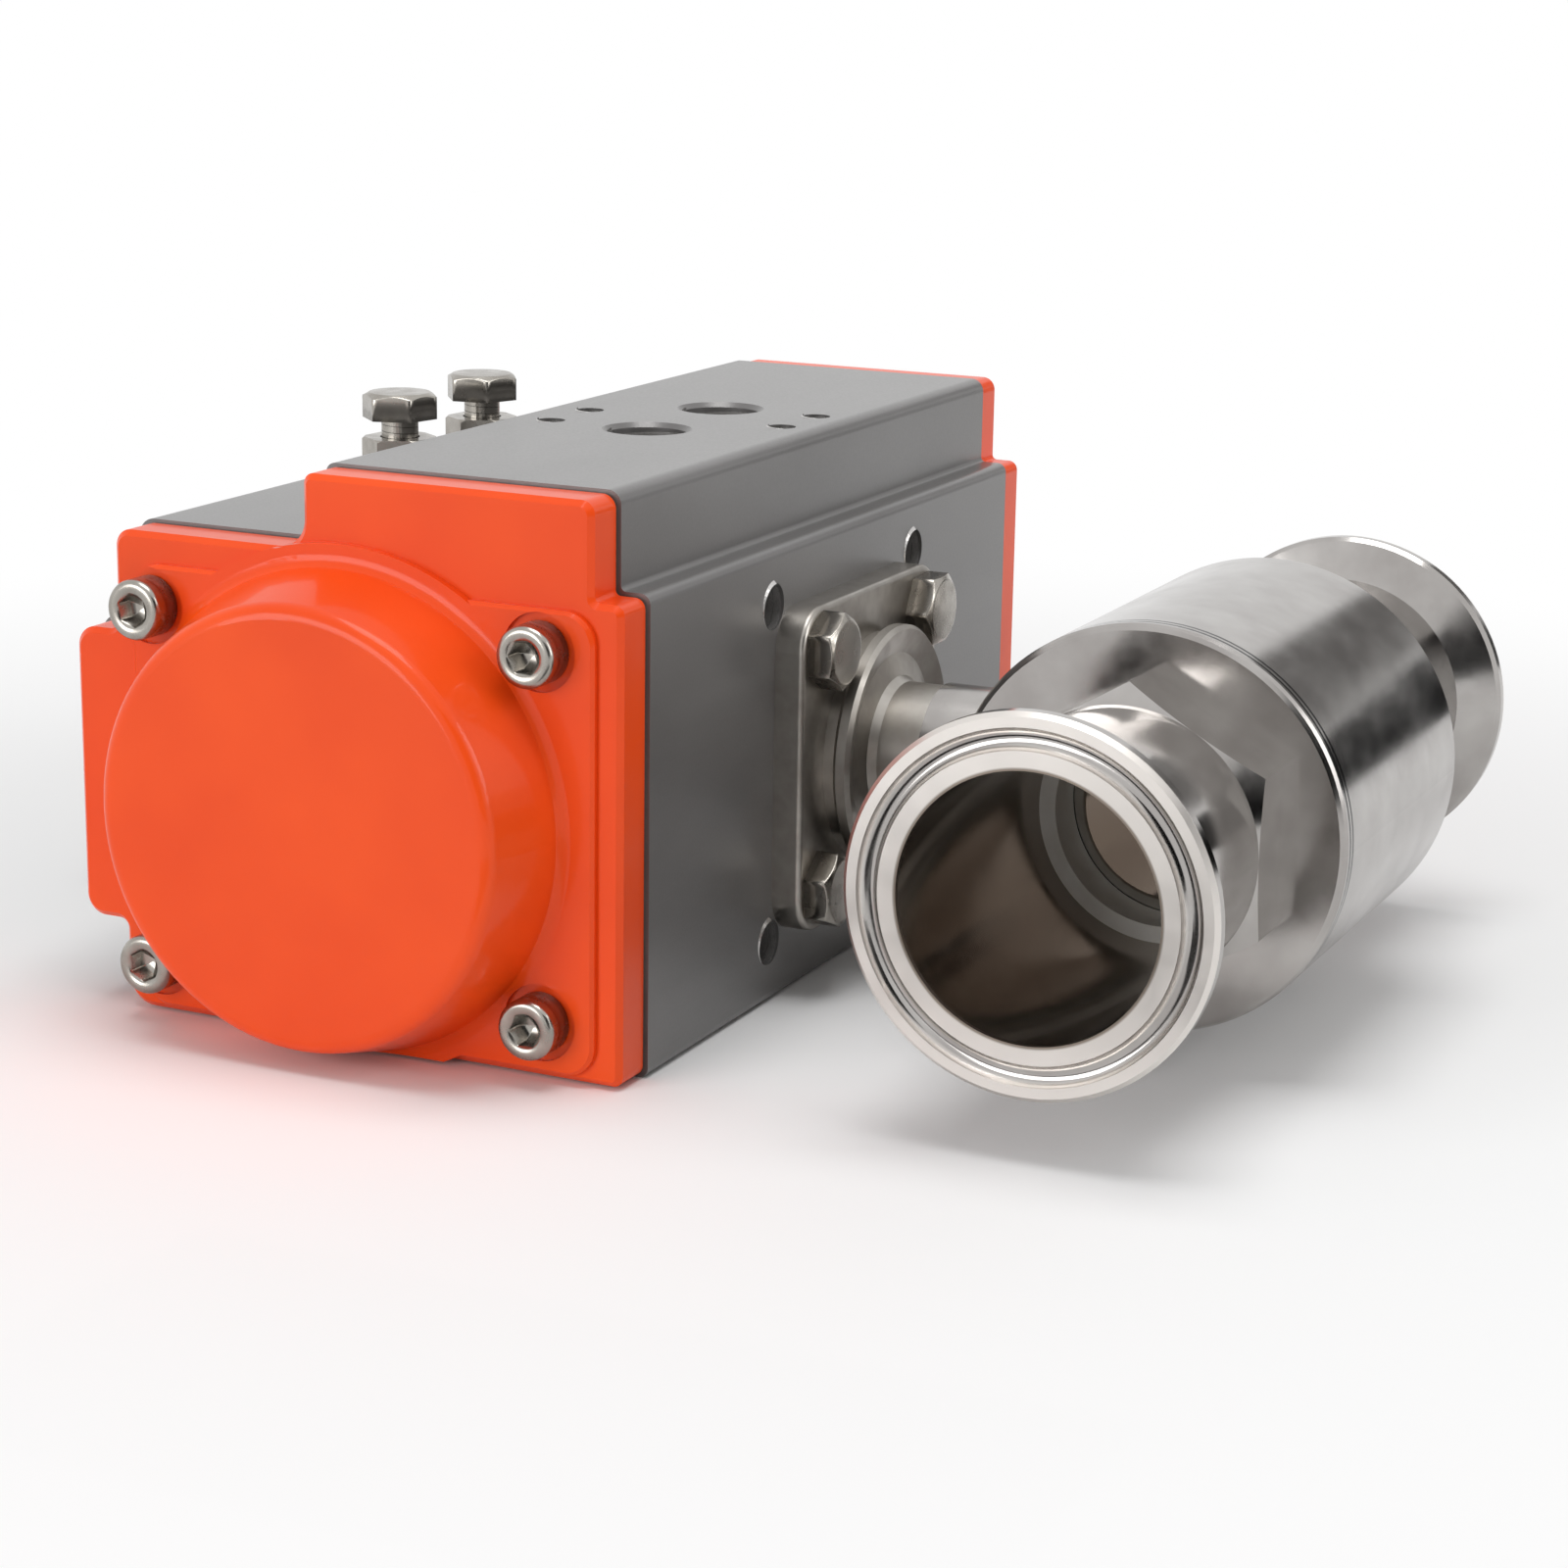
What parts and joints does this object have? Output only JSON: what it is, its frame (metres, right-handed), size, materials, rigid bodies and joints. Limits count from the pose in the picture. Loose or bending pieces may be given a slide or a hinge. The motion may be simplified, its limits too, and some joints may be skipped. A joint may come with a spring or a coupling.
{
  "type": "actuated sanitary ball valve",
  "caption": "Clamp-end sanitary ball valve turned by a twin-piston rack-and-pinion air actuator with domed end caps, stop bolts and solenoid port face.",
  "frame": {"origin": "centre of the ball, where the flow axis crosses the stem axis", "axes": "+Y along the flow, from the screwed end towards the body's own end; +X along the stem away from the actuator; +Z out of the air-port face"},
  "size_m": [0.2005, 0.167, 0.0826],
  "materials": {
    "stainless": "polished stainless steel casting",
    "bolt_steel": "plain stainless fastener steel",
    "orange_paint": "gloss orange paint on cast aluminium",
    "grey_anodised": "hard anodised dark grey, satin",
    "cast_aluminium": "bare machined casting",
    "pinion_steel": "nickel plated alloy steel",
    "ptfe": "white fluoroplastic",
    "pale_gasket": "pale elastomer sheet",
    "black_rubber": "nitrile rubber",
    "bearing_plastic": "filled bearing plastic",
    "indicator_plastic": "moulded black plastic"
  },
  "bodies": {
    "housing": {"actuator_body": "grey_anodised", "valve_body": "stainless", "screwed_end": "stainless", "near_seat": "ptfe", "far_seat": "ptfe", "body_seal": "ptfe", "stem_thrust_ring": "ptfe", "stem_packing": "ptfe", "gland_ring": "bolt_steel", "disc_springs": "bolt_steel", "mounting_pad": "stainless", "pad_bolts": "bolt_steel", "near_end_cap": "orange_paint", "far_end_cap": "orange_paint", "near_cap_gasket": "pale_gasket", "far_cap_gasket": "pale_gasket", "near_cap_screws": "bolt_steel", "far_cap_screws": "bolt_steel", "lower_bush": "bearing_plastic", "upper_bush": "bearing_plastic", "stop_lock_nuts": "bolt_steel", "stop_seal_washers": "black_rubber"},
    "drive_train": {"ball": "stainless", "stem": "stainless", "stem_nut": "bolt_steel", "drive_adapter": "pinion_steel", "pinion": "pinion_steel", "lower_o_ring": "black_rubber", "upper_o_ring": "black_rubber", "pinion_thrust_washer": "bearing_plastic", "pinion_circlip": "bolt_steel", "stop_cam": "pinion_steel", "position_indicator": "indicator_plastic", "indicator_screw": "bolt_steel"},
    "near_piston_body": {"near_piston": "cast_aluminium", "near_piston_seal": "black_rubber", "near_guide_band": "bearing_plastic", "near_rack_guide": "bearing_plastic"},
    "far_piston_body": {"far_piston": "cast_aluminium", "far_piston_seal": "black_rubber", "far_guide_band": "bearing_plastic", "far_rack_guide": "bearing_plastic"},
    "closed_stop": {"closed_stop_bolt": "bolt_steel"},
    "open_stop": {"open_stop_bolt": "bolt_steel"}
  },
  "joints": [
    {"name": "pinion_turn", "type": "hinge", "parent": "housing", "child": "drive_train", "pos_m": [-0.1, 0, 0], "axis": [-1, 0, 0], "range_deg": [0, 90]},
    {"name": "near_piston_slide", "type": "slide", "parent": "housing", "child": "near_piston_body", "axis": [0, 1, 0], "range_m": [0, 0.0213]},
    {"name": "far_piston_slide", "type": "slide", "parent": "housing", "child": "far_piston_body", "axis": [0, -1, 0], "range_m": [0, 0.0213]},
    {"name": "closed_stop_adjust", "type": "slide", "parent": "housing", "child": "closed_stop", "axis": [0, 0, 1], "range_m": [0, 0.003]},
    {"name": "open_stop_adjust", "type": "slide", "parent": "housing", "child": "open_stop", "axis": [0, 0, 1], "range_m": [0, 0.003]}
  ],
  "couplings": [
    {"joint": "near_piston_slide", "follows": "pinion_turn", "m_per_rad": 0.0135},
    {"joint": "far_piston_slide", "follows": "pinion_turn", "m_per_rad": 0.0135}
  ]
}
